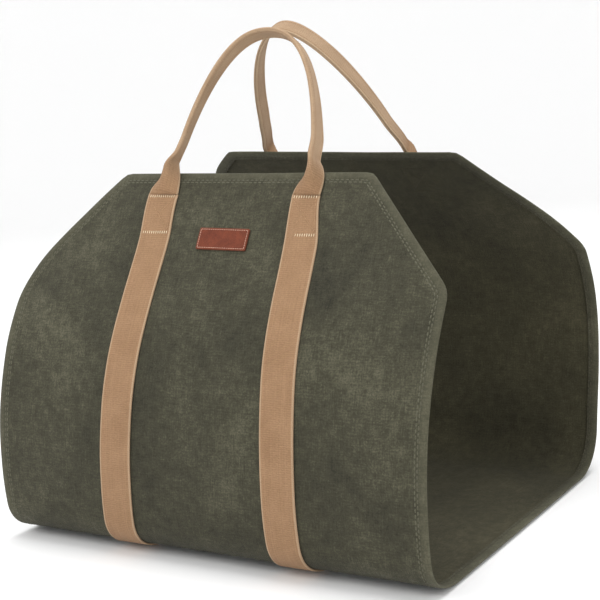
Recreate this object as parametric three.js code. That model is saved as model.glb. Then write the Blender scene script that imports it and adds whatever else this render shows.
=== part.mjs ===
// Canvas log carrier: one sheet of waxed canvas bent into a U, two webbing straps and two hand loops.
// Millimetres, +Z up, +X across the carrier. The front panel faces -Y and the base stands on z = 0.
import * as THREE from 'three';

// Driving sizes of the canvas sheet
const sheetWidth = 450;
const frontRun = 545;
const backRun = 568;
const clothWall = 1.8;
const hemWidth = 11;
const hemExtra = 1.1;
const hemStep = 0.8;
const topEdgeWidth = 265;
const frontChamferRun = 106;
const backChamferRun = 142;
const cornerRadius = 9;

// Driving sizes of the webbing straps and of the box stitching that ends them
const strapWidth = 33.5;
const strapWall = 1.8;
const strapSpacingTop = 152;
const strapSpacingUnder = 180;
const boxStitchBelowEdge = 24;

// Driving sizes of the hand loops, which are webbing folded in half along its length
const loopWidth = 17;
const loopThickness = 4.6;
const frontLoopHeight = 127;
const backLoopHeight = 130;
const frontLoopLean = 63;
const backLoopLean = 93;
const frontLoopSway = -4;
const backLoopSway = 2;
const foldLength = 30;
const twistHeight = 62;

// Driving sizes of the leather patch
const patchWidth = 52;
const patchHeight = 21;
const patchWall = 1.6;
const patchBelowEdge = 67;
const patchAside = -3;
const patchCornerRadius = 1.5;

// Clearance between pieces that lie on each other
const seatGap = 0.3;

// How the cloth lies: share of the run from the middle of the base, and its angle from the floor in degrees
const clothLie = [
  { share: 0.00, front: 0.0, back: 0.0 },
  { share: 0.27, front: 0.0, back: 0.0 },
  { share: 0.33, front: 24.5, back: 37.0 },
  { share: 0.39, front: 82.5, back: 82.0 },
  { share: 0.46, front: 91.0, back: 79.0 },
  { share: 0.56, front: 100.0, back: 89.5 },
  { share: 0.68, front: 112.5, back: 112.0 },
  { share: 0.80, front: 122.5, back: 133.0 },
  { share: 0.90, front: 121.0, back: 138.0 },
  { share: 1.00, front: 125.5, back: 133.5 },
];

// Roundness of each arch: below 2 its flanks are flatter and its crown more pointed than an ellipse
const frontArch = { across: 2.36, rise: 1.47 };
const backArch = { across: 1.77, rise: 1.5 };

// Fineness of the faceted model
const bendPerRow = 7;
const longestRow = 34;
const lieStep = 0.5;
const archSteps = 30;
const legSteps = 6;

// The middle surface of the cloth stands clear of the floor by the strap that runs under it
const clothBase = strapWall + seatGap + clothWall / 2;

const panels = {
  front: { name: 'front', side: -1, run: frontRun, chamferRun: frontChamferRun },
  back: { name: 'back', side: 1, run: backRun, chamferRun: backChamferRun },
};

// Angle of the cloth at a distance from the middle of the base, in radians
function lieAngle(panel, distance) {
  const share = Math.min(Math.max(distance / panel.run, 0), 1);
  const next = Math.max(clothLie.findIndex((row) => row.share >= share), 1);
  const low = clothLie[next - 1];
  const high = clothLie[next];
  const mix = (share - low.share) / (high.share - low.share);
  return THREE.MathUtils.degToRad(THREE.MathUtils.lerp(low[panel.name], high[panel.name], mix));
}

// The cloth's path in the YZ plane, followed in short steps from the middle of the base
function followCloth(panel) {
  const path = [{ out: 0, up: clothBase }];
  const steps = Math.round(panel.run / lieStep);
  const step = panel.run / steps;
  for (let index = 0; index < steps; index += 1) {
    const angle = lieAngle(panel, (index + 0.5) * step);
    const last = path[index];
    path.push({ out: last.out + step * Math.cos(angle), up: last.up + step * Math.sin(angle) });
  }
  return { path, step };
}

panels.front.line = followCloth(panels.front);
panels.back.line = followCloth(panels.back);

// The carrier's middle lies halfway between the bellies of the two panels
const belly = (panel) => Math.max(...panel.line.path.map((point) => point.out));
const middleShift = (belly(panels.front) - belly(panels.back)) / 2;

// A signed run is negative on the front panel and positive on the back one
function panelOf(run) {
  return run < 0 ? panels.front : panels.back;
}

// Outward direction of the cloth at a signed run
function clothNormal(run) {
  const panel = panelOf(run);
  const angle = lieAngle(panel, Math.abs(run));
  return new THREE.Vector3(0, panel.side * Math.sin(angle), -Math.cos(angle));
}

// A point at a signed run, at x, lifted outward from the cloth's middle surface
function onCloth(run, x, lift) {
  const panel = panelOf(run);
  const place = Math.min(Math.abs(run) / panel.line.step, panel.line.path.length - 1);
  const index = Math.min(Math.floor(place), panel.line.path.length - 2);
  const low = panel.line.path[index];
  const high = panel.line.path[index + 1];
  const out = THREE.MathUtils.lerp(low.out, high.out, place - index);
  const up = THREE.MathUtils.lerp(low.up, high.up, place - index);
  const middle = new THREE.Vector3(x, panel.side * out + middleShift, up);
  return middle.addScaledVector(clothNormal(run), lift);
}

// Signed runs between two ends, closer together where the cloth bends more
function rowsBetween(start, end) {
  const rows = [start];
  while (end - rows[rows.length - 1] > 1e-6) {
    const from = rows[rows.length - 1];
    let reach = from;
    let bend = 0;
    while (reach < end && reach - from < longestRow && bend < bendPerRow) {
      const stride = Math.min(lieStep * 2, end - reach);
      const before = lieAngle(panelOf(reach), Math.abs(reach));
      const after = lieAngle(panelOf(reach + stride), Math.abs(reach + stride));
      bend += Math.abs(THREE.MathUtils.radToDeg(after - before));
      reach += stride;
    }
    const left = end - reach;
    rows.push(left < longestRow / 4 ? end : reach);
  }
  return rows;
}

// Half the sheet's width at a distance below a panel's top edge, with both corners of the chamfer rounded
function halfWidth(panel, belowEdge) {
  const side = sheetWidth / 2;
  const top = topEdgeWidth / 2;
  const slope = Math.atan2(panel.chamferRun, side - top);
  const tangent = cornerRadius * Math.tan(slope / 2);
  const topArcEnd = tangent * Math.sin(slope);
  const sideTangent = cornerRadius * Math.tan((Math.PI / 2 - slope) / 2);
  const sideArcStart = panel.chamferRun - sideTangent * Math.sin(slope);
  if (belowEdge < topArcEnd) {
    const drop = cornerRadius - belowEdge;
    return top - tangent + Math.sqrt(Math.max(cornerRadius ** 2 - drop ** 2, 0));
  }
  if (belowEdge < sideArcStart) {
    return top + (side - top) * (belowEdge / panel.chamferRun);
  }
  if (belowEdge < panel.chamferRun + sideTangent) {
    const drop = panel.chamferRun + sideTangent - belowEdge;
    return side - cornerRadius + Math.sqrt(cornerRadius ** 2 - drop ** 2);
  }
  return side;
}

// A closed solid from a grid of outer and inner points, rows along the piece and columns across it
function gridSolid(outer, inner) {
  const rows = outer.length;
  const columns = outer[0].length;
  const positions = [];
  for (const face of [outer, inner]) {
    for (const row of face) {
      for (const point of row) {
        positions.push(point.x, point.y, point.z);
      }
    }
  }
  const outerAt = (row, column) => row * columns + column;
  const innerAt = (row, column) => rows * columns + row * columns + column;
  const faces = [];
  const quad = (a, b, c, d) => faces.push(a, b, c, a, c, d);
  for (let row = 0; row < rows - 1; row += 1) {
    for (let column = 0; column < columns - 1; column += 1) {
      quad(outerAt(row, column), outerAt(row + 1, column), outerAt(row + 1, column + 1), outerAt(row, column + 1));
      quad(innerAt(row, column), innerAt(row, column + 1), innerAt(row + 1, column + 1), innerAt(row + 1, column));
    }
    const last = columns - 1;
    quad(outerAt(row, 0), innerAt(row, 0), innerAt(row + 1, 0), outerAt(row + 1, 0));
    quad(outerAt(row, last), outerAt(row + 1, last), innerAt(row + 1, last), innerAt(row, last));
  }
  for (let column = 0; column < columns - 1; column += 1) {
    const end = rows - 1;
    quad(outerAt(0, column), outerAt(0, column + 1), innerAt(0, column + 1), innerAt(0, column));
    quad(outerAt(end, column), innerAt(end, column), innerAt(end, column + 1), outerAt(end, column + 1));
  }
  return closedGeometry(positions, faces);
}

// A closed solid from rings of points around a path, with a flat cap at each end
function ringSolid(rings) {
  const sides = rings[0].length;
  const positions = rings.flat().flatMap((point) => [point.x, point.y, point.z]);
  const faces = [];
  for (let ring = 0; ring < rings.length - 1; ring += 1) {
    for (let side = 0; side < sides; side += 1) {
      const next = (side + 1) % sides;
      const here = ring * sides;
      const there = here + sides;
      faces.push(here + side, here + next, there + next, here + side, there + next, there + side);
    }
  }
  const last = (rings.length - 1) * sides;
  for (let side = 1; side < sides - 1; side += 1) {
    faces.push(0, side + 1, side);
    faces.push(last, last + side, last + side + 1);
  }
  return closedGeometry(positions, faces);
}

function closedGeometry(positions, faces) {
  const geometry = new THREE.BufferGeometry();
  geometry.setAttribute('position', new THREE.Float32BufferAttribute(positions, 3));
  geometry.setIndex(faces);
  geometry.computeVertexNormals();
  return geometry;
}

// Runs along the whole sheet, with rows added for the hems and the rounded corners at both top edges
function sheetRows() {
  const edgeRows = (panel) => [
    0,
    cornerRadius * 0.12,
    cornerRadius * 0.45,
    hemWidth,
    hemWidth + hemStep,
    boxStitchBelowEdge,
    panel.chamferRun - cornerRadius * 0.4,
    panel.chamferRun + cornerRadius * 0.4,
  ];
  const front = edgeRows(panels.front).map((below) => below - frontRun);
  const back = edgeRows(panels.back).map((below) => backRun - below).reverse();
  const middle = (from, to) => rowsBetween(from, to).slice(1, -1);
  return [
    ...front.slice(0, 6),
    ...middle(front[5], front[6]),
    ...front.slice(6),
    ...middle(front[7], 0),
    0,
    ...middle(0, back[0]),
    ...back.slice(0, 2),
    ...middle(back[1], back[2]),
    ...back.slice(2),
  ];
}

const sheetRuns = sheetRows();

// The canvas sheet, one wall thick, with its edges turned in and so thicker along a band inside
function canvasSheet() {
  const innerShares = [-1, -0.75, -0.5, -0.25, 0, 0.25, 0.5, 0.75, 1];
  const outer = [];
  const inner = [];
  for (const run of sheetRuns) {
    const panel = panelOf(run);
    const belowEdge = panel.run - Math.abs(run);
    const half = halfWidth(panel, belowEdge);
    const onChamfer = belowEdge < panel.chamferRun;
    const slant = (sheetWidth - topEdgeWidth) / 2 / panel.chamferRun;
    const band = onChamfer ? hemWidth * Math.hypot(1, slant) : hemWidth;
    const field = half - band - hemStep;
    const columns = [-half, -half + band, ...innerShares.map((share) => share * field), half - band, half];
    const last = columns.length - 1;
    const inTopHem = belowEdge <= hemWidth;
    const outerRow = [];
    const innerRow = [];
    columns.forEach((x, column) => {
      const inHem = inTopHem || column <= 1 || column >= last - 1;
      outerRow.push(onCloth(run, x, clothWall / 2));
      innerRow.push(onCloth(run, x, -clothWall / 2 - (inHem ? hemExtra : 0)));
    });
    outer.push(outerRow);
    inner.push(innerRow);
  }
  return gridSolid(outer, inner);
}

// Distance of a strap's middle line from the carrier's middle, parallel on the base, then drawing together
function strapOffset(run) {
  const flatShare = clothLie[1].share;
  const climb = Math.max(Math.abs(run) / panelOf(run).run - flatShare, 0) / (1 - flatShare);
  return THREE.MathUtils.lerp(strapSpacingUnder, strapSpacingTop, climb) / 2;
}

// A flat webbing strap on the outside of the cloth, from one box stitch under the base to the other
function strap(side) {
  const runs = sheetRuns.filter((run) => panelOf(run).run - Math.abs(run) > boxStitchBelowEdge - 1e-6);
  const seat = clothWall / 2 + seatGap;
  const outer = [];
  const inner = [];
  for (const run of runs) {
    const middle = side * strapOffset(run);
    const edges = [middle - strapWidth / 2, middle, middle + strapWidth / 2];
    outer.push(edges.map((x) => onCloth(run, x, seat + strapWall)));
    inner.push(edges.map((x) => onCloth(run, x, seat)));
  }
  return gridSolid(outer, inner);
}

// Where a hand loop runs: its legs lie on the panel, then an arch leans in over the opening
function loopPath(panel, arch, height, lean, sway) {
  const points = [];
  const start = boxStitchBelowEdge - seatGap;
  const leg = (side) => {
    const steps = [];
    for (let index = 0; index < legSteps; index += 1) {
      const belowEdge = start * (1 - index / legSteps);
      const run = panel.side * (panel.run - belowEdge);
      const folded = Math.min((start - belowEdge) / foldLength, 1);
      steps.push({ run, x: side * strapOffset(run), folded, above: 0, side });
    }
    return steps;
  };
  points.push(...leg(-1));
  const top = panel.side * panel.run;
  for (let index = 0; index <= archSteps; index += 1) {
    const turn = Math.PI * index / archSteps;
    const across = -Math.sign(Math.cos(turn)) * Math.abs(Math.cos(turn)) ** (2 / arch.across);
    const rise = Math.sin(turn) ** (2 / arch.rise);
    points.push({
      run: top,
      x: across * strapOffset(top) + sway * Math.sin(turn),
      folded: Math.min((start + rise * height) / foldLength, 1),
      above: rise * height,
      inward: rise * lean,
      side: index < archSteps / 2 ? -1 : 1,
    });
  }
  points.push(...leg(1).reverse());
  return points;
}

// A hand loop: flat webbing at the box stitches, folded to half its width above them and turned on edge
function handLoop(panel, arch, height, lean, sway) {
  const path = loopPath(panel, arch, height, lean, sway);
  const seat = clothWall / 2 + seatGap;
  const stations = path.map((place) => {
    const thickness = THREE.MathUtils.lerp(strapWall, loopThickness, place.folded);
    const width = THREE.MathUtils.lerp(strapWidth, loopWidth, place.folded);
    const point = onCloth(place.run, place.x, seat + thickness / 2);
    point.z += place.above;
    point.y -= panel.side * (place.inward ?? 0);
    return { point, thickness, width, place };
  });
  const rings = stations.map((station, index) => {
    const before = stations[Math.max(index - 1, 0)].point;
    const after = stations[Math.min(index + 1, stations.length - 1)].point;
    const along = after.clone().sub(before).normalize();
    const twist = THREE.MathUtils.smoothstep(station.place.above, 0, twistHeight);
    const flat = clothNormal(station.place.run);
    const crown = new THREE.Vector3(-along.z, 0, along.x);
    const face = flat.multiplyScalar(1 - twist).addScaledVector(crown, twist);
    face.addScaledVector(along, -face.dot(along)).normalize();
    const across = face.clone().cross(along).normalize();
    if (station.place.above === 0) {
      across.set(Math.sign(across.x), 0, 0);
    }
    return flattenedRing(station.point, across, face, station.width / 2, station.thickness / 2);
  });
  return ringSolid(rings);
}

// Eight points around a flat webbing section: full width in the middle, its edges rounded over
function flattenedRing(centre, across, face, halfAcross, halfThick) {
  const edge = halfAcross - halfThick * 0.6;
  const corner = halfThick * 0.45;
  const section = [
    [halfAcross, -corner],
    [halfAcross, corner],
    [edge, halfThick],
    [-edge, halfThick],
    [-halfAcross, corner],
    [-halfAcross, -corner],
    [-edge, -halfThick],
    [edge, -halfThick],
  ];
  return section.map(([u, v]) => centre.clone().addScaledVector(across, u).addScaledVector(face, v));
}

// The leather patch sewn on the front panel, just left of its middle, with slightly rounded corners
function leatherPatch() {
  const seat = clothWall / 2 + seatGap;
  const middle = -(frontRun - patchBelowEdge);
  const drop = patchCornerRadius;
  const rows = [-0.5, -0.5 + drop / patchHeight, -0.17, 0.17, 0.5 - drop / patchHeight, 0.5];
  const outer = [];
  const inner = [];
  for (const share of rows) {
    const run = middle + share * patchHeight;
    const half = patchWidth / 2 - (Math.abs(share) === 0.5 ? drop : 0);
    const columns = [-half, -half / 3, half / 3, half].map((across) => patchAside + across);
    outer.push(columns.map((x) => onCloth(run, x, seat + patchWall)));
    inner.push(columns.map((x) => onCloth(run, x, seat)));
  }
  return gridSolid(outer, inner);
}

const canvas = new THREE.MeshStandardMaterial({ color: 0x55574a, roughness: 0.85, metalness: 0 });
const webbing = new THREE.MeshStandardMaterial({ color: 0xb18e6c, roughness: 0.8, metalness: 0 });
const leather = new THREE.MeshStandardMaterial({ color: 0x8c4a38, roughness: 0.6, metalness: 0 });

function piece(name, geometry, material) {
  const mesh = new THREE.Mesh(geometry, material);
  mesh.name = name;
  return mesh;
}

const frontLoop = handLoop(panels.front, frontArch, frontLoopHeight, frontLoopLean, frontLoopSway);
const backLoop = handLoop(panels.back, backArch, backLoopHeight, backLoopLean, backLoopSway);

const carrier = new THREE.Group();
carrier.add(piece('canvas_sheet', canvasSheet(), canvas));
carrier.add(piece('strap_left', strap(-1), webbing));
carrier.add(piece('strap_right', strap(1), webbing));
carrier.add(piece('handle_front', frontLoop, webbing));
carrier.add(piece('handle_back', backLoop, webbing));
carrier.add(piece('leather_patch', leatherPatch(), leather));

export default carrier;
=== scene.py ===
import bisect
import math

import bmesh
import bpy
from mathutils import Matrix, Vector, noise


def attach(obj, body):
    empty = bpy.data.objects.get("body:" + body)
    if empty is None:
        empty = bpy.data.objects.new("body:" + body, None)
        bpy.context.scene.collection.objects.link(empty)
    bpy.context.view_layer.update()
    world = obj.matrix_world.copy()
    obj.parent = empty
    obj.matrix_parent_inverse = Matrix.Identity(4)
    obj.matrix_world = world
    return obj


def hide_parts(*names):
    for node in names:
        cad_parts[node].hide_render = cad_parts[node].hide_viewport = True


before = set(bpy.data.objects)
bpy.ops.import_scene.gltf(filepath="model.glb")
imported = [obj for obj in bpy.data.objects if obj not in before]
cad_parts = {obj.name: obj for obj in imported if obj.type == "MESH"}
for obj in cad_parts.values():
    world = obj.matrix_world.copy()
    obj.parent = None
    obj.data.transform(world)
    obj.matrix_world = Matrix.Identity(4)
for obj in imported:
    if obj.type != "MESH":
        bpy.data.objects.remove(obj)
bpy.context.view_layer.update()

# The camera stands in front of the carrier, to its right and a little above it.
# It is held with a slight roll, so the right-hand end of the base runs down out of the picture.
camera_turn = math.radians(31.25)
camera_tilt = math.radians(10.09)
camera_roll = math.radians(-3.45)
camera_aim = Vector((-0.0067, 0.0, 0.2047))
camera_distance = 1.3976
photo_width_px = 600
focal_length_px = 1420.5

ahead = Vector((
    -math.sin(camera_turn) * math.cos(camera_tilt),
    math.cos(camera_turn) * math.cos(camera_tilt),
    -math.sin(camera_tilt),
))
level_right = Vector((math.cos(camera_turn), math.sin(camera_turn), 0))
level_up = level_right.cross(ahead)
right = level_right * math.cos(camera_roll) + level_up * math.sin(camera_roll)
up = level_up * math.cos(camera_roll) - level_right * math.sin(camera_roll)
lens = bpy.data.cameras.new("camera")
lens.sensor_width = 36
lens.lens = lens.sensor_width * focal_length_px / photo_width_px
lens.clip_end = 50
camera = bpy.data.objects.new("camera", lens)
turned = Matrix((right, up, -ahead)).transposed().to_4x4()
camera.matrix_world = Matrix.Translation(camera_aim - ahead * camera_distance) @ turned
bpy.context.collection.objects.link(camera)
bpy.context.scene.camera = camera


# The studio is a pale floor that rises into a pale wall all round, lit by soft lamps.
# It is a disc whose rim is drawn outward and upward in a quarter of a circle.
class Value:
    """A socket of a material. Arithmetic on it adds Math nodes."""

    def __init__(self, finish, socket):
        self.finish = finish
        self.socket = socket

    def work_out(self, operation, first, second=0.0):
        return self.finish.node("ShaderNodeMath", {"operation": operation}, {0: first, 1: second})

    def __add__(self, other):
        return self.work_out("ADD", self, other)

    def __radd__(self, other):
        return self.work_out("ADD", other, self)

    def __sub__(self, other):
        return self.work_out("SUBTRACT", self, other)

    def __rsub__(self, other):
        return self.work_out("SUBTRACT", other, self)

    def __mul__(self, other):
        return self.work_out("MULTIPLY", self, other)

    def __rmul__(self, other):
        return self.work_out("MULTIPLY", other, self)

    def __abs__(self):
        return self.work_out("ABSOLUTE", self)

    def sine(self):
        return self.work_out("SINE", self)

    def larger(self, other):
        return self.work_out("MAXIMUM", self, other)

    def above(self, low, high):
        """0 below low, 1 above high, and smooth between them."""
        settings = {"interpolation_type": "SMOOTHSTEP"}
        sockets = {"Value": self, "From Min": low, "From Max": high}
        return self.finish.node("ShaderNodeMapRange", settings, sockets)


class Finish:
    """A material that is written as expressions."""

    def __init__(self, name):
        self.material = bpy.data.materials.new(name)
        self.material.use_nodes = True
        self.tree = self.material.node_tree
        self.tree.nodes.clear()

    def node(self, kind, settings=None, sockets=None, out=0):
        made = self.tree.nodes.new(kind)
        for name, value in (settings or {}).items():
            setattr(made, name, value)
        for name, value in (sockets or {}).items():
            if isinstance(value, Value):
                self.tree.links.new(value.socket, made.inputs[name])
            else:
                made.inputs[name].default_value = value
        return Value(self, made.outputs[out]) if made.outputs else None

    def mix(self, share, low, high):
        settings = {"data_type": "RGBA", "clamp_factor": True}
        shown = [colour if isinstance(colour, Value) else (*colour, 1) for colour in (low, high)]
        return self.node("ShaderNodeMix", settings, {0: share, 6: shown[0], 7: shown[1]}, 2)

    def stretched(self, place, scale):
        settings = {"operation": "MULTIPLY"}
        return self.node("ShaderNodeVectorMath", settings, {0: place, 1: scale})

    def grain(self, place, scale, detail, roughness, distortion=0.0):
        sockets = {"Vector": place, "Scale": scale, "Detail": detail}
        sockets.update({"Roughness": roughness, "Distortion": distortion})
        return self.node("ShaderNodeTexNoise", {}, sockets)

    def axis(self, place, letter):
        return self.node("ShaderNodeSeparateXYZ", {}, {0: place}, letter)

    def relief(self, height, distance, strength):
        sockets = {"Height": height, "Distance": distance, "Strength": strength}
        return self.node("ShaderNodeBump", {}, sockets)

    def surface(self, **sockets):
        named = {name.replace("_", " "): value for name, value in sockets.items()}
        shader = self.node("ShaderNodeBsdfPrincipled", {}, named)
        self.node("ShaderNodeOutputMaterial", {}, {"Surface": shader})
        return self.material


floor_radius = 2.6
wall_bend = 1.2
wall_steps = 12
studio_mesh = bpy.data.meshes.new("studio")
bm = bmesh.new()
bmesh.ops.create_circle(bm, cap_ends=True, radius=floor_radius, segments=96)
rim = [edge for edge in bm.edges if edge.is_boundary]
for step in range(1, wall_steps + 1):
    angle = math.pi / 2 * step / wall_steps
    reach = floor_radius + wall_bend * math.sin(angle)
    made = bmesh.ops.extrude_edge_only(bm, edges=rim)["geom"]
    for vert in (item for item in made if isinstance(item, bmesh.types.BMVert)):
        flat = Vector((vert.co.x, vert.co.y, 0)).normalized() * reach
        vert.co = (flat.x, flat.y, wall_bend * (1 - math.cos(angle)))
    rim = [item for item in made if isinstance(item, bmesh.types.BMEdge)]
for face in bm.faces:
    face.smooth = len(face.verts) == 4
bm.to_mesh(studio_mesh)
bm.free()
studio = bpy.data.objects.new("studio", studio_mesh)
bpy.context.collection.objects.link(studio)
paper = Finish("studio paper")
studio_mesh.materials.append(paper.surface(Base_Color=(0.93, 0.93, 0.93, 1), Roughness=0.9))

bpy.context.scene.view_settings.view_transform = "Standard"
world = bpy.data.worlds.new("studio light")
bpy.context.scene.world = world
world.use_nodes = True
world.node_tree.nodes["Background"].inputs["Color"].default_value = (1, 1, 1, 1)
world.node_tree.nodes["Background"].inputs["Strength"].default_value = 0.75

lamps = [
    ("key", (-1.3, -2.0, 1.9), 1.6, 26),
    ("fill", (2.1, -1.3, 1.3), 1.6, 13),
    ("overhead", (0.1, 0.2, 2.6), 2.2, 44),
]
for name, place, size, power in lamps:
    lamp = bpy.data.lights.new(name, "AREA")
    lamp.shape = "DISK"
    lamp.size = size
    lamp.energy = power
    holder = bpy.data.objects.new(name, lamp)
    towards = Vector((0, 0, 0.2)) - Vector(place)
    turn = towards.to_track_quat("-Z", "Y").to_matrix().to_4x4()
    holder.matrix_world = Matrix.Translation(place) @ turn
    bpy.context.collection.objects.link(holder)


# The sheet is one piece of heavy waxed canvas, cut with slanting corners and bent into a U.
# It is made flat, in millimetres, with its edge turned in as a hem, and then laid along the
# curve of the full carrier.
sheet_width = 450
front_run = 545
back_run = 568
top_edge_width = 265
front_chamfer = 106
back_chamfer = 142
cloth_wall = 1.8
skin = 0.8
strap_wall = 1.8
seat_gap = 0.3
cloth_base = strap_wall + seat_gap + cloth_wall / 2

# Of the two panels the front is side -1 and the back is side 1, and the left hand is -1. A run
# goes from the middle of the base, to minus at the front, and a lift goes out of the cloth.
panel_run = {-1: front_run, 1: back_run}
panel_chamfer = {-1: front_chamfer, 1: back_chamfer}

# Share of a panel's run, and how steeply the cloth climbs there in degrees
base_share = 0.27
cloth_lie = {
    -1: [(0, 0), (base_share, 0), (0.33, 24.5), (0.39, 82.5), (0.46, 91), (0.56, 100),
         (0.68, 112.5), (0.8, 122.5), (0.9, 121), (1, 125.5)],
    1: [(0, 0), (base_share, 0), (0.33, 37), (0.39, 82), (0.46, 79), (0.56, 89.5),
        (0.68, 112), (0.8, 133), (0.9, 138), (1, 133.5)],
}


def ease(low, high, value):
    share = min(max((value - low) / (high - low), 0), 1)
    return share * share * (3 - 2 * share)


def between(low, high, share):
    return low + (high - low) * share


def along_row(rows, share):
    """A value that changes evenly between the pairs of share and value of a row."""
    share = min(max(share, 0), 1)
    index = max(next(i for i, row in enumerate(rows) if row[0] >= share), 1)
    (low, start), (high, end) = rows[index - 1], rows[index]
    return between(start, end, (share - low) / (high - low))


def lie_angle(side, distance):
    return math.radians(along_row(cloth_lie[side], distance / panel_run[side]))


path_step = 0.5


def follow_cloth(side):
    """Points out and up along the curve of one panel, from the middle of the base."""
    steps = round(panel_run[side] / path_step)
    step = panel_run[side] / steps
    path = [(0.0, cloth_base)]
    for index in range(steps):
        angle = lie_angle(side, (index + 0.5) * step)
        out, high = path[-1]
        path.append((out + step * math.cos(angle), high + step * math.sin(angle)))
    return path, step


cloth_path = {side: follow_cloth(side) for side in (-1, 1)}
belly = {side: max(out for out, high in cloth_path[side][0]) for side in (-1, 1)}
middle_shift = (belly[-1] - belly[1]) / 2


# Side and hand of each side corner, how far it curls in, and from how far round it
side_curls = [(-1, -1, 5.0, 75), (-1, 1, 1.5, 45), (1, -1, 4.0, 60), (1, 1, 3.0, 60)]
swells = [
    {"out": 2.2, "across": 95, "along": 120, "seed": 3.1},
    {"out": 0.7, "across": 41, "along": 52, "seed": 7.7},
]
back_edge_lift = 5.5
back_edge_reach = 80


def swell(x, run):
    """How far the cloth stands out of its even curve: broad shallow swells and curled corners."""
    side = -1 if run < 0 else 1
    share = abs(run) / panel_run[side]
    # The base lies even, and the hem of the top edge holds the cloth nearly so
    free = ease(0.3, 0.42, share) * (1 - 0.7 * ease(0.86, 1, share))
    out = free * sum(
        wave["out"] * noise.noise(Vector((x / wave["across"], run / wave["along"], wave["seed"])))
        for wave in swells
    )
    below = panel_run[side] - abs(run)
    for panel, hand, curl, reach in side_curls:
        if panel == side:
            away = math.hypot(x - hand * sheet_width / 2, below - panel_chamfer[side])
            out -= curl * (1 - ease(0, reach, away))
    if side == 1:
        lifted = between(back_edge_lift, 0, ease(-150, 150, x))
        out += lifted * (1 - ease(0, back_edge_reach, below))
    return out


def cloth_out(run):
    """Outward direction of the cloth at a signed run from the middle of the base."""
    side = -1 if run < 0 else 1
    angle = lie_angle(side, abs(run))
    return Vector((0, side * math.sin(angle), -math.cos(angle)))


def on_cloth(x, run, lift):
    """A point of the flat work, in millimetres, laid on the bent cloth, in metres."""
    side = -1 if run < 0 else 1
    path, step = cloth_path[side]
    place = min(abs(run) / step, len(path) - 1)
    index = min(int(place), len(path) - 2)
    share = place - index
    out = between(path[index][0], path[index + 1][0], share)
    high = between(path[index][1], path[index + 1][1], share)
    point = Vector((x, side * out + middle_shift, high))
    return (point + cloth_out(run) * (lift + swell(x, run))) / 1000


def keep(name, bm, *materials):
    """Makes a finished piece of the mesh that is being worked on."""
    for face in bm.faces:
        face.smooth = True
    mesh = bpy.data.meshes.new(name)
    bm.to_mesh(mesh)
    bm.free()
    piece = bpy.data.objects.new(name, mesh)
    bpy.context.collection.objects.link(piece)
    for material in materials:
        mesh.materials.append(material)
    return piece


field_inset = 12
columns = 96
row_spacing = 4.5
close_spacing = 2.2
chamfer_reach = (sheet_width - top_edge_width) / 2
plain_rounding = 4
front_left_rounding = 24
back_left_bulge = 12
bulge_rises = (0, 38)
bulge_falls = (50, 130)


def half_width(side, below_edge, inset, hand):
    """Half the sheet's width within an inset from its edge, at a distance below a top edge."""
    slant = math.hypot(chamfer_reach, panel_chamfer[side]) / panel_chamfer[side]
    on_chamfer = top_edge_width / 2 + chamfer_reach * below_edge / panel_chamfer[side]
    on_chamfer -= inset * slant
    if (side, hand) == (1, -1):
        bulging = ease(*bulge_rises, below_edge) * (1 - ease(*bulge_falls, below_edge))
        on_chamfer += back_left_bulge * bulging
    on_side = sheet_width / 2 - inset
    rounding = front_left_rounding if (side, hand) == (-1, -1) else plain_rounding
    near = max(1 - abs(on_side - on_chamfer) / rounding, 0)
    return min(on_side, on_chamfer) - rounding / 4 * near ** 2


def side_corner(side, inset):
    """Distance below the top edge at which the inset slanting edge meets the inset side."""
    slant = math.hypot(chamfer_reach, panel_chamfer[side])
    along = (chamfer_reach - inset) * panel_chamfer[side]
    return (along + inset * slant) / chamfer_reach


def spread(start, end, spacing):
    """Places from start to just before end, about a spacing apart."""
    count = max(round(abs(end - start) / spacing), 1)
    return [between(start, end, index / count) for index in range(count)]


def panel_rows(side):
    """Distances below the top edge of the rows of the flat sheet, closer at its corners."""
    corner = side_corner(side, field_inset)
    rows = [field_inset, field_inset + close_spacing]
    rows += spread(field_inset + 2 * close_spacing, corner - 2 * close_spacing, row_spacing)
    rows += [corner + step * close_spacing for step in (-2, -1, 0, 1)]
    rows += spread(corner + 2 * close_spacing, panel_run[side], row_spacing)
    return rows


sheet_rows = [below - front_run for below in panel_rows(-1)]
sheet_rows += [0]
sheet_rows += [back_run - below for below in reversed(panel_rows(1))]

# Distance from the edge and lift of the canvas's outer face where it is turned in as a hem
hem_turn = [
    (10.4, 0.9), (9.0, 0.88), (8.35, 0.74), (8.0, 0.6), (7.6, 0.76), (6.9, 0.93), (4.6, 1.0),
    (2.2, 0.96), (1.0, 0.74), (0.3, 0.28), (0.0, -0.3), (0.3, -0.88), (1.0, -1.34),
    (2.2, -1.56), (4.6, -1.62), (7.2, -1.5), (8.0, -1.3), (8.8, -1.5), (10.1, -1.56),
    (10.8, -1.34), (11.0, -0.95),
]

# The field within the hem is one grid, as wide at each row as the sheet is there.
bm = bmesh.new()
bmesh.ops.create_grid(bm, x_segments=columns, y_segments=len(sheet_rows) - 1, size=0.5)
edge_distance = bm.verts.layers.float.new("edge_distance")
root = bm.verts.layers.int.new("root")
for vert in bm.verts:
    run = sheet_rows[round((vert.co.y + 0.5) * (len(sheet_rows) - 1))]
    side = -1 if run < 0 else 1
    below = panel_run[side] - abs(run)
    half = half_width(side, below, field_inset, -1 if vert.co.x < 0 else 1)
    vert.co = (vert.co.x * 2 * half, run, cloth_wall / 2)
    vert[edge_distance] = min(field_inset + half - abs(vert.co.x), below)

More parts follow.
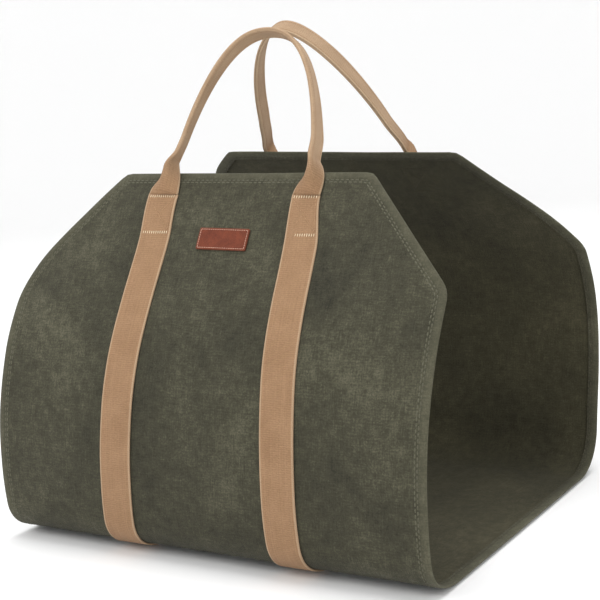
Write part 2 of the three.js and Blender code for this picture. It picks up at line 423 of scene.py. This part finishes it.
# The rim of the field is drawn outward, round the fold and back on the inside. At a corner its
# direction is longer, so that the hem keeps its width.
rim = [edge for edge in bm.edges if edge.is_boundary]
rim_verts = [vert for vert in bm.verts if vert.is_boundary]
outward = {}
for vert in rim_verts:
    normals = Vector((0, 0, 0))
    for edge in (edge for edge in vert.link_edges if edge.is_boundary):
        along = edge.other_vert(vert).co - vert.co
        across = Vector((along.y, -along.x, 0)).normalized()
        inside = edge.link_faces[0].calc_center_median() - vert.co
        normals += across if across.dot(inside) < 0 else -across
    outward[vert] = normals / max(normals.length_squared / 2, 1e-9)
outward = {
    vert: outward[vert] * 0.5 + sum(
        (outward[edge.other_vert(vert)] for edge in vert.link_edges if edge.is_boundary),
        Vector((0, 0, 0)),
    ) * 0.25
    for vert in rim_verts
}

rim_roots = []
for index, vert in enumerate(rim_verts):
    vert[root] = index
    rim_roots.append((vert.co.copy(), outward[vert]))
for distance, lift in hem_turn:
    made = bmesh.ops.extrude_edge_only(bm, edges=rim)["geom"]
    for vert in (item for item in made if isinstance(item, bmesh.types.BMVert)):
        start, direction = rim_roots[vert[root]]
        vert.co = start + direction * (field_inset - distance)
        vert.co.z = lift
        vert[edge_distance] = distance
    rim = [item for item in made if isinstance(item, bmesh.types.BMEdge) and item.is_boundary]

# The flat work gives the cloth its pattern's place, and is then laid along the curve.
flat_map = bm.loops.layers.uv.new("flat")
for face in bm.faces:
    for loop in face.loops:
        loop[flat_map].uv = (loop.vert.co.x / 1000, loop.vert.co.y / 1000)
for vert in bm.verts:
    vert.co = on_cloth(vert.co.x, vert.co.y, vert.co.z)
bmesh.ops.reverse_faces(bm, faces=bm.faces[:])


weave_pitch = 0.0011


def canvas_finish(name, dark, middle, light, hem_share):
    """A plain weave under a mottled film of wax, rubbed paler near the folded edges."""
    finish = Finish(name)
    place = finish.node("ShaderNodeUVMap", {"uv_map": "flat"})
    u = finish.axis(place, "X")
    v = finish.axis(place, "Y")
    clouds = finish.grain(place, 7.0, 3.0, 0.5, 0.3)
    blotches = finish.grain(finish.stretched(place, (1, 0.7, 1)), 24.0, 4.0, 0.6, 0.5)
    mottle = finish.grain(place, 110.0, 4.0, 0.7)
    slubs_up = finish.grain(finish.stretched(place, (900, 70, 1)), 1.0, 2.0, 0.6)
    slubs_across = finish.grain(finish.stretched(place, (80, 760, 1)), 1.0, 2.0, 0.6)
    speckle = finish.grain(place, 560.0, 3.0, 0.7)
    threads = 2 * math.pi / weave_pitch
    weave = (u * threads).sine() * (v * threads).sine()
    tone = 0.505 + (clouds - 0.5) * 0.85 + (blotches - 0.5) * 0.65 + (mottle - 0.5) * 0.7
    tone = tone + (slubs_up - 0.5) * 0.5 + (slubs_across - 0.5) * 0.45 + (speckle - 0.5) * 0.9
    tone = tone + weave * 0.05
    edge = finish.node("ShaderNodeAttribute", {"attribute_name": "edge_distance"}, out=2)
    worn = 0.25 + mottle * 0.55 + speckle * 0.55
    rubbed = (1 - edge.above(1.5, 12.5)) * worn * hem_share
    shade = finish.mix(tone.above(-0.05, 0.6), dark, middle)
    shade = finish.mix(tone.above(0.45, 1.1), shade, light)
    shade = finish.mix(rubbed, shade, light)
    height = weave * 0.35 + slubs_up * 0.5 + slubs_across * 0.5 + speckle * 0.6 + mottle * 0.6
    bump = finish.relief(height, 0.00045, 0.9)
    rough = 0.9 - mottle * 0.2
    return finish.surface(
        Base_Color=shade, Roughness=rough, Normal=bump, Specular_IOR_Level=0.22,
        Sheen_Weight=0.04, Sheen_Roughness=0.5,
    )


waxed_outside = canvas_finish(
    "waxed canvas",
    (0.018, 0.017, 0.010), (0.048, 0.0455, 0.027), (0.128, 0.123, 0.080), 0.42,
)
# The inside face is the same canvas, its colours set darker than the outside's as painted shade
# inside the carrier
painted_shade_inside_canvas = canvas_finish(
    "waxed canvas inside painted shade",
    (0.021, 0.019, 0.010), (0.045, 0.041, 0.021), (0.092, 0.082, 0.047), 0.75,
)
canvas = keep("canvas", bm, waxed_outside, painted_shade_inside_canvas)
wall = canvas.modifiers.new("wall", "SOLIDIFY")
wall.thickness = skin / 1000
wall.offset = -1
wall.material_offset = 1
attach(canvas, "root")
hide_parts("canvas_sheet")


# The hem is sewn down with two close rows of olive thread, all the way round the sheet.
# Each stitch is a short bead of thread that dips into the cloth at both ends, on both faces.
hem_row_insets = (8, 10.3)
hem_stitch_pitch = 4.9
hem_thread_share = 0.66
hem_lift_outside = 0.92
hem_lift_inside = -1.5
bead_reach = 0.56
handful_size = 40


def stitch(start, end, out, thick, height=0.6):
    """Where one stitch lies: from start to end, in metres, standing out of the cloth."""
    along = end - start
    out = (out - along * (out.dot(along) / along.length_squared)).normalized()
    aside = out.cross(along.normalized())
    sized = Matrix((along * bead_reach, aside * thick / 2000, out * height / 2000)).transposed()
    middle = Matrix.Translation((start + end) / 2)
    return middle @ sized.to_4x4() @ Matrix.Rotation(math.pi / 2, 4, "Y")


def pace_out(path, pitch, share):
    """Start and end of each stitch of a row along a path of points."""
    path = [Vector(point) for point in path]
    travel = [0]
    for before, after in zip(path, path[1:]):
        travel.append(travel[-1] + (after - before).length)

    def place(wanted):
        index = min(bisect.bisect_right(travel, wanted), len(path) - 1)
        part = (wanted - travel[index - 1]) / (travel[index] - travel[index - 1])
        return path[index - 1].lerp(path[index], part)

    count = max(round(travel[-1] / pitch), 1)
    pitch = travel[-1] / count
    return [
        (place((index + (1 - share) / 2) * pitch), place((index + (1 + share) / 2) * pitch))
        for index in range(count)
    ]


def sew(path, pitch, lift, face=1, share=0.78, thick=0.75):
    """A row of running stitches along a path of the flat work."""
    row = []
    for first, last in pace_out(path, pitch, share):
        out = cloth_out((first.y + last.y) / 2) * face
        row.append(stitch(on_cloth(*first, lift), on_cloth(*last, lift), out, thick))
    return row


def pull_through(name, stitches, thread):
    """Makes the beads of thread of all the stitches of one piece, a handful at a time."""
    whole = bmesh.new()
    handful = bpy.data.meshes.new("handful")
    for first in range(0, len(stitches), handful_size):
        beads = bmesh.new()
        for place in stitches[first:first + handful_size]:
            bmesh.ops.create_uvsphere(beads, u_segments=6, v_segments=4, radius=1, matrix=place)
        beads.to_mesh(handful)
        beads.free()
        whole.from_mesh(handful)
    bpy.data.meshes.remove(handful)
    piece = keep(name, whole, thread)
    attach(piece, "root")
    return piece


def hem_line(inset):
    """The path of a row round the whole sheet, at one distance from its edge."""
    path = []
    step = 3
    past_corner = 60
    for side in (-1, 1):
        down = [inset] + spread(inset + step, panel_chamfer[side] + past_corner, step)
        for hand, rows in ((side, down[::-1]), (-side, down)):
            for below in rows:
                half = half_width(side, below, inset, hand)
                path.append((hand * half, side * (panel_run[side] - below)))
    return path + path[:1]


def thread_finish(name, dark, light):
    """Thread of two shades, from its plies."""
    finish = Finish(name)
    place = finish.node("ShaderNodeTexCoord", out="Object")
    ply = finish.grain(place, 1400.0, 2.0, 0.6)
    shade = finish.mix(ply.above(0.3, 0.7), dark, light)
    bump = finish.relief(ply, 0.00015, 0.8)
    return finish.surface(
        Base_Color=shade, Roughness=0.7, Normal=bump, Specular_IOR_Level=0.35,
    )


olive_thread = thread_finish("olive thread", (0.066, 0.064, 0.041), (0.124, 0.121, 0.081))
dark_thread = thread_finish("dark olive thread", (0.034, 0.030, 0.018), (0.078, 0.070, 0.044))
hem_rows = []
hem_rows_inside = []
for inset in hem_row_insets:
    line = hem_line(inset)
    hem_rows += sew(line, hem_stitch_pitch, hem_lift_outside, share=hem_thread_share, thick=1.3)
    hem_rows_inside += sew(
        line, hem_stitch_pitch, hem_lift_inside, face=-1, share=hem_thread_share, thick=1.2,
    )
pull_through("hem_stitches", hem_rows, olive_thread)
pull_through("hem_stitches_inside", hem_rows_inside, dark_thread)


# The webbing is tan woven tape, sewn on in two long runs under the base and up both panels.
# Above the box stitches it is folded double along its length, with the fold outward, and
# arches over to the other run as a hand loop. Each part starts where the one before it ends.
strap_width = 33.5
spacing_top = 152
spacing_under = 180
box_top = 24
box_foot = 62
strap_seat = cloth_wall / 2 + seat_gap

# Sizes of each loop's arch, how squarely it is drawn across and upward, the length over which it
# folds and that over which it turns out of the cloth, and its twists along its length in degrees
front_arch = {
    "height": 123.5, "lean": 61, "sway": -1, "across": 2.36, "rise": 1.47, "fold_travel": 33,
    "turned": (24, 44),
    "twists": [(0, 20), (0.15, 20), (0.3, 14), (0.45, 4), (0.6, 2), (0.7, 5), (0.8, 0),
               (0.9, -8), (1, -10)],
}
back_arch = {
    "height": 125.5, "lean": 90, "sway": -3, "across": 1.77, "rise": 1.5, "fold_travel": 20,
    "turned": (12, 26),
    "twists": [(0, -6), (0.3, -8), (0.45, -2), (0.65, 0), (0.78, 8), (0.9, 14), (1, 14)],
}

# For each side and hand: how far the strap strays sideways at its box stitches, over what reach,
# how far the loop's foot strays, and the share by which the stitches draw the webbing together
strays = {
    (-1, -1): {"at_box": -4, "reach": 50, "at_foot": 0, "drawn": 0},
    (-1, 1): {"at_box": -3.8, "reach": 50, "at_foot": 3, "drawn": 0.15},
    (1, -1): {"at_box": -8, "reach": 110, "at_foot": -15, "drawn": 0.05},
    (1, 1): {"at_box": 0, "reach": 50, "at_foot": 0, "drawn": 0.05},
}
foot_height = 40
drawn_reach = 26
# How far from each end of a hand loop its webbing fades into the paler colour of painted light
painted_light_reach = (6, 55)

# The fold: how far above the box stitches it starts, how slowly it sets in, how far the tape
# moves in with it and over what height, and the radii of its bend
fold_start = 0.5
fold_delay = 1.2
fold_drop = 7.5
drop_reach = (1, 32)
open_bend = 9
folded_bend = 1.65

strap_station_spacing = 4
loop_station_spacing = 2.6
leg_spacing = 2
arch_points = 400
evening_rounds = 12

across_places = [16.3, 15.2, 12.5, 9.5, 6.5, 4, 2.2, 1.1]
across_places = [-place for place in across_places] + [0] + across_places[::-1]
selvedge_places = [(strap_width / 2, 0.5), (strap_width / 2, -0.5)]
tape_outline = [(place, strap_wall / 2) for place in across_places] + selvedge_places
tape_outline += [(-place, -strap_wall / 2) for place in across_places]
tape_outline += [(-place, -thick) for place, thick in selvedge_places]


def tape_point(fold, place, thick):
    """Where a point of the tape's section lies, sideways and out, when it is partly folded."""
    bend = between(open_bend, folded_bend, fold)
    angle = math.pi / 2 * fold
    reach = abs(place)
    if angle < 1e-4:
        return place, strap_wall / 2 + thick

    def middle_line(distance):
        curved = min(distance, bend)
        turn = angle * curved / bend
        straight = distance - curved
        aside = bend / angle * math.sin(turn) + straight * math.cos(angle)
        down = bend / angle * (1 - math.cos(turn)) + straight * math.sin(angle)
        return aside, down, turn

    aside, down, turn = middle_line(reach)
    depth = middle_line(strap_width / 2)[1]
    aside += thick * math.sin(turn)
    out = depth - down + strap_wall / 2 + thick * math.cos(turn)
    return math.copysign(aside, place), out


def strap_middle(hand, run):
    """Where the middle of a strap lies across the sheet, up to the foot of the hand loop."""
    side = -1 if run < 0 else 1
    climb = max(abs(run) / panel_run[side] - base_share, 0) / (1 - base_share)
    even = hand * between(spacing_under, spacing_top, climb) / 2
    stray = strays[side, hand]
    below = panel_run[side] - abs(run)
    if below < box_top:
        return even + between(stray["at_box"], stray["at_foot"], ease(box_top, 0, below))
    return even + stray["at_box"] * ease(box_top + stray["reach"], box_top, below)


def drawn_width(hand, run):
    """The share of its width that a strap keeps, where the box stitches draw it together."""
    side = -1 if run < 0 else 1
    stray = strays[side, hand]
    below = panel_run[side] - abs(run)
    return 1 - stray["drawn"] * ease(box_top + stray["reach"], box_top, below)


def strap_stations(hand):
    """Places along a flat strap, from the front box stitch under the base to the back one."""
    last_run = back_run - box_top
    stations = []
    for run in spread(box_top - front_run, last_run, strap_station_spacing) + [last_run]:
        stations.append({
            "point": on_cloth(strap_middle(hand, run), run, strap_seat),
            "aside": Vector((hand, 0, 0)) * drawn_width(hand, run),
            "out": cloth_out(run),
            "fold": 0,
            "painted_light": 0,
        })
    return stations


def loop_leg(side, hand):
    """The sewn end of a hand loop: each point, no height above the edge, and its run."""
    points = []
    for below in spread(box_top, 0, leg_spacing):
        run = side * (panel_run[side] - below)
        points.append((on_cloth(strap_middle(hand, run), run, strap_seat), 0, run))
    return points


def loop_arch(side, arch):
    """The free part of a hand loop: each point, its height above the edge, and its run."""
    top = side * panel_run[side]
    points = []
    for index in range(arch_points + 1):
        turn = math.pi * index / arch_points
        across = -math.copysign(abs(math.cos(turn)) ** (2 / arch["across"]), math.cos(turn))
        rise = max(math.sin(turn), 0) ** (2 / arch["rise"])
        hand = -1 if index < arch_points / 2 else 1
        x = across * spacing_top / 2 + arch["sway"] * math.sin(turn)
        foot = max(1 - rise * arch["height"] / foot_height, 0) ** 2
        x += strays[side, hand]["at_foot"] * foot
        point = on_cloth(x, top, strap_seat)
        point += Vector((0, -side * rise * arch["lean"], rise * arch["height"])) / 1000
        points.append((point, rise * arch["height"], top))
    return points


def loop_line(side, arch):
    """Points at even steps along a whole loop, evened where its legs meet the arch."""
    raw = loop_leg(side, -1) + loop_arch(side, arch) + loop_leg(side, 1)[::-1]
    travel = [0]
    for before, after in zip(raw, raw[1:]):
        travel.append(travel[-1] + (after[0] - before[0]).length * 1000)
    count = round(travel[-1] / loop_station_spacing)
    points = []
    index = 0
    for number in range(count + 1):
        wanted = travel[-1] * number / count
        while index < len(raw) - 2 and travel[index + 1] < wanted:
            index += 1
        share = (wanted - travel[index]) / max(travel[index + 1] - travel[index], 1e-9)
        share = min(max(share, 0), 1)
        before, after = raw[index], raw[index + 1]
        above = between(before[1], after[1], share)
        run = between(before[2], after[2], share)
        points.append([before[0].lerp(after[0], share), above, run])
    for evening in range(evening_rounds):
        for before, here, after in zip(points, points[1:], points[2:]):
            here[0] = here[0] * 0.5 + (before[0] + after[0]) * 0.25
    return points, travel[-1]


def loop_stations(side, arch):
    """Places along a hand loop, from its left box stitches over the arch to its right ones."""
    points, length = loop_line(side, arch)
    count = len(points) - 1
    # The tape's face follows the leaning plane of the arch, and the cloth at both ends
    leaning = math.atan2(arch["lean"], arch["height"])
    upward = Vector((0, -side * math.sin(leaning), math.cos(leaning)))
    facing = Vector((0, side * math.cos(leaning), math.sin(leaning)))
    stations = []
    for number, (point, above, run) in enumerate(points):
        before = points[max(number - 1, 0)][0]
        after = points[min(number + 1, len(points) - 1)][0]
        along = (after - before).normalized()
        if number == 0 or number == count:
            along = Vector((1, 0, 0)).cross(cloth_out(run)) * (side if number == 0 else -side)
        share = number / count
        twist = math.radians(along_row(arch["twists"], share))
        end = length * min(number, count - number) / count
        turned = Matrix.Rotation(twist, 3, upward) @ facing
        out = cloth_out(run).lerp(turned, ease(*arch["turned"], end))
        out = (out - along * out.dot(along)).normalized()
        narrowed = min(max(end - fold_start, 0) / arch["fold_travel"], 1) ** fold_delay
        drop = fold_drop * ease(*drop_reach, above)
        drawn = strays[side, -1 if share < 0.5 else 1]["drawn"] * ease(drawn_reach, 0, end)
        stations.append({
            "point": point - out * drop / 1000,
            "aside": side * along.cross(out) * (1 - drawn),
            "out": out,
            "fold": math.acos(1 - narrowed) / (math.pi / 2),
            # How much painted light the loop's webbing gets here, none at its sewn ends
            "painted_light": ease(*painted_light_reach, end),
        })
    return stations


rib_pitch = 0.0019
yarn_pitch = 0.0013
tape = Finish("cotton webbing")
place = tape.node("ShaderNodeUVMap", {"uv_map": "tape"})
u = tape.axis(place, "X")
v = tape.axis(place, "Y")
rib = (v * (2 * math.pi / rib_pitch)).sine()
warp_yarn = (u * (2 * math.pi / yarn_pitch) + rib * 0.9).sine()
yarn = tape.grain(tape.stretched(place, (420, 1500, 1)), 1.0, 2.0, 0.6)
streak = tape.grain(tape.stretched(place, (900, 14, 1)), 1.0, 2.0, 0.5)
dust = tape.grain(place, 38.0, 4.0, 0.6)
selvedge = abs(u).above(0.0146, 0.0156)
# Along the hand loops the webbing is painted paler and greyer: painted light, for the stronger
# light that falls on the raised loops
painted_light = tape.node("ShaderNodeAttribute", {"attribute_name": "painted_light"}, out=2)
tone = 0.5 + rib * 0.07 + warp_yarn * 0.06 + (yarn - 0.5) * 0.9 + (dust - 0.5) * 0.6
tone = (tone + (streak - 0.5) * 0.5).above(0.0, 1.0)
shade = tape.mix(tone, (0.222, 0.124, 0.063), (0.366, 0.222, 0.122))
paler = tape.mix(tone, (0.302, 0.200, 0.121), (0.486, 0.345, 0.222))
shade = tape.mix(painted_light * 0.85, shade, paler)
shade = tape.mix(selvedge * 0.45, shade, (0.52, 0.385, 0.255))
height = rib * 0.35 + warp_yarn * 0.3 + yarn * 0.4
webbing = tape.surface(
    Base_Color=shade, Roughness=0.86 - dust * 0.1, Normal=tape.relief(height, 0.00035, 0.9),
    Specular_IOR_Level=0.22, Sheen_Weight=0.05, Sheen_Roughness=0.5,
)


def weave_tape(name, stations, start):
    """Draws the tape's section along the stations. Its pattern starts at a place in metres."""
    bm = bmesh.new()
    order = bm.verts.layers.int.new("order")
    along = bm.verts.layers.float.new("along")
    # Share of painted light in the tape's colour at each ring of its section
    painted_light = bm.verts.layers.float.new("painted_light")
    verts = [bm.verts.new((0, 0, 0)) for place in tape_outline]
    for index, vert in enumerate(verts):
        vert[order] = index

    def set_down(verts, station, travel):
        for vert in verts:
            aside, out = tape_point(station["fold"], *tape_outline[vert[order]])
            vert.co = station["point"] + (station["aside"] * aside + station["out"] * out) / 1000
            vert[along] = travel
            vert[painted_light] = station["painted_light"]

    set_down(verts, stations[0], start)
    first = bm.faces.new(verts)
    rim = list(first.edges)
    travel = start
    for before, station in zip(stations, stations[1:]):
        travel += (station["point"] - before["point"]).length
        made = bmesh.ops.extrude_edge_only(bm, edges=rim)["geom"]
        set_down([item for item in made if isinstance(item, bmesh.types.BMVert)], station, travel)
        rim = [item for item in made if isinstance(item, bmesh.types.BMEdge) and item.is_boundary]
    bmesh.ops.edgeloop_fill(bm, edges=rim)
    bmesh.ops.recalc_face_normals(bm, faces=bm.faces[:])
    tape_map = bm.loops.layers.uv.new("tape")
    for face in bm.faces:
        for loop in face.loops:
            place = tape_outline[loop.vert[order]][0]
            loop[tape_map].uv = (place / 1000, loop.vert[along])
    return keep(name, bm, webbing)


loop_start = 0.4
for name, hand in (("strap_left", -1), ("strap_right", 1)):
    strap = weave_tape(name + "_webbing", strap_stations(hand), 0)
    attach(strap, "root")
    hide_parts(name)
for name, side, arch in (("handle_front", -1, front_arch), ("handle_back", 1, back_arch)):
    loop = weave_tape(name + "_webbing", loop_stations(side, arch), loop_start)
    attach(loop, "root")
    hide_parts(name)


# Each strap is sewn to the canvas at both its ends by two cream rows of close upright stitches,
# with tan stitches down both sides and crossed between them.
tack_pitch = 2.4
tack_height = 2.7
tack_thick = 0.8
side_pitch = 3.1
row_gap = 3
top_row_below = box_top + 1.8
box_half_width = strap_width / 2 - 3.4
thread_lift = 0.12
on_strap = strap_seat + strap_wall + thread_lift
behind_cloth = cloth_wall / 2 - skin - thread_lift
cream_thread = thread_finish("cream thread", (0.62, 0.49, 0.32), (0.90, 0.80, 0.60))
tan_thread = thread_finish("tan thread", (0.260, 0.148, 0.076), (0.420, 0.262, 0.145))


def tack_row(middle, run, half, lift, face):
    """A row of close stitches that stand upright, across a strap."""
    count = round(2 * half / tack_pitch)
    row = []
    for index in range(count + 1):
        x = middle + between(-half, half, index / count)
        foot = on_cloth(x, run - tack_height / 2, lift)
        head = on_cloth(x, run + tack_height / 2, lift)
        row.append(stitch(foot, head, cloth_out(run) * face, tack_thick))
    return row


cream_rows = []
tan_rows = []
inside_rows = []
for side in (-1, 1):
    for hand in (-1, 1):
        rows = [side * (panel_run[side] - below) for below in (top_row_below, box_foot)]
        middles = [strap_middle(hand, run) for run in rows]
        halves = [box_half_width * drawn_width(hand, run) for run in rows]
        for middle, run, half in zip(middles, rows, halves):
            cream_rows += tack_row(middle, run, half, on_strap, 1)
            inside_rows += tack_row(middle, run, half, behind_cloth, -1)
        gap = row_gap * side
        for start_hand, end_hand in ((-1, -1), (1, 1), (-1, 1), (1, -1)):
            start = (middles[0] + start_hand * halves[0], rows[0] - gap)
            end = (middles[1] + end_hand * halves[1], rows[1] + gap)
            tan_rows += sew((start, end), side_pitch, on_strap)
            inside_rows += sew((start, end), side_pitch, behind_cloth, face=-1)
pull_through("box_stitch_rows", cream_rows, cream_thread)
pull_through("box_stitch_crosses", tan_rows, tan_thread)
pull_through("box_stitches_inside", inside_rows, dark_thread)


# Both hand loops are sewn shut with tan thread, one row beside the fold and one row near the
# open edges, on both faces of the folded tape.
loop_stitch_pitch = 3.2
loop_thread_share = 0.76
loop_row_places = (-14.2, -3.1, 3.1, 14.2)
loop_rows = []
for side, arch in ((-1, front_arch), (1, back_arch)):
    stations = [station for station in loop_stations(side, arch) if station["fold"] == 1]
    for place in loop_row_places:
        aside, out = tape_point(1, place, strap_wall / 2 + thread_lift)
        line = [
            station["point"] + (station["aside"] * aside + station["out"] * out) / 1000
            for station in stations
        ]
        row = pace_out(line, loop_stitch_pitch / 1000, loop_thread_share)
        for index, (first, last) in enumerate(row):
            station = stations[round(index * (len(stations) - 1) / len(row))]
            face = station["aside"] * math.copysign(1, place)
            loop_rows.append(stitch(first, last, face, thick=0.7, height=0.5))
pull_through("loop_stitches", loop_rows, tan_thread)


# The patch is a small plate of red-brown leather on the front panel, just left of its middle.
# Its edges are cut square and burnished, and a pale thread runs round it close to the edge.
patch_width = 52
patch_height = 21
patch_wall = 1.6
patch_corner = 1.4
patch_edge = 0.45
patch_below = 67
patch_aside = -3
patch_run = patch_below - front_run

bm = bmesh.new()
bmesh.ops.create_grid(bm, x_segments=33, y_segments=14, size=0.5)
bmesh.ops.scale(bm, vec=(patch_width, patch_height, 1), verts=bm.verts[:])
corners = [vert for vert in bm.verts if len(vert.link_edges) == 2]
bmesh.ops.bevel(
    bm, geom=corners, offset=patch_corner, offset_type="OFFSET", affect="VERTICES", segments=4,
    profile=0.5, material=-1,
)
face_top = bm.faces[:]
made = bmesh.ops.extrude_face_region(bm, geom=face_top)["geom"]
raised = [item for item in made if isinstance(item, bmesh.types.BMVert)]
bmesh.ops.translate(bm, vec=(0, 0, patch_wall), verts=raised)
raised_faces = {item for item in made if isinstance(item, bmesh.types.BMFace)}
border = [
    edge for edge in bm.edges
    if len([face for face in edge.link_faces if face in raised_faces]) == 1
]
bmesh.ops.bevel(
    bm, geom=border, offset=patch_edge, offset_type="OFFSET", affect="EDGES", segments=3,
    profile=0.5, material=-1, clamp_overlap=True,
)
bmesh.ops.recalc_face_normals(bm, faces=bm.faces[:])
hide_map = bm.loops.layers.uv.new("hide")
for face in bm.faces:
    for loop in face.loops:
        loop[hide_map].uv = (loop.vert.co.x / 1000, loop.vert.co.y / 1000)
for vert in bm.verts:
    vert.co = on_cloth(patch_aside + vert.co.x, patch_run + vert.co.y, strap_seat + vert.co.z)
bmesh.ops.recalc_face_normals(bm, faces=bm.faces[:])

hide = Finish("patch leather")
place = hide.node("ShaderNodeUVMap", {"uv_map": "hide"})
u = hide.axis(place, "X")
v = hide.axis(place, "Y")
pores = hide.node(
    "ShaderNodeTexVoronoi", {"feature": "DISTANCE_TO_EDGE"}, {"Vector": place, "Scale": 1100.0},
)
clouds = hide.grain(place, 90.0, 4.0, 0.6)
fine = hide.grain(hide.stretched(place, (1500, 500, 1)), 1.0, 3.0, 0.6)
edge = (abs(u) - patch_width / 2000).larger(abs(v) - patch_height / 2000)
burnish = edge.above(-0.0014, 0.0)
tone = clouds * 0.7 + fine * 0.5 + pores.above(0.0, 0.25) * 0.15
shade = hide.mix(tone.above(0.35, 1.0), (0.082, 0.015, 0.005), (0.182, 0.039, 0.013))
shade = hide.mix(burnish * 0.5, shade, (0.17, 0.052, 0.028))
leather = hide.surface(
    Base_Color=shade, Roughness=0.58 - clouds * 0.12,
    Normal=hide.relief(pores.above(0.0, 0.2) * 0.6 + fine * 0.4, 0.00012, 0.8),
    Specular_IOR_Level=0.22,
)
patch = keep("patch", bm, leather)
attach(patch, "root")
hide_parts("leather_patch")

patch_row_inset = 1.6
patch_row_pitch = 2.3
patch_row_lift = strap_seat + patch_wall + 0.03
pale_thread = thread_finish("pale thread", (0.46, 0.25, 0.18), (0.70, 0.46, 0.35))
patch_row = []
half_across = patch_width / 2 - patch_row_inset
half_up = patch_height / 2 - patch_row_inset
corners = [(-1, -1), (1, -1), (1, 1), (-1, 1)]
corners = [(patch_aside + x * half_across, patch_run + rise * half_up) for x, rise in corners]
for ends in zip(corners, corners[1:] + corners[:1]):
    patch_row += sew(ends, patch_row_pitch, patch_row_lift, share=0.84, thick=0.5)
pull_through("patch_stitches", patch_row, pale_thread)


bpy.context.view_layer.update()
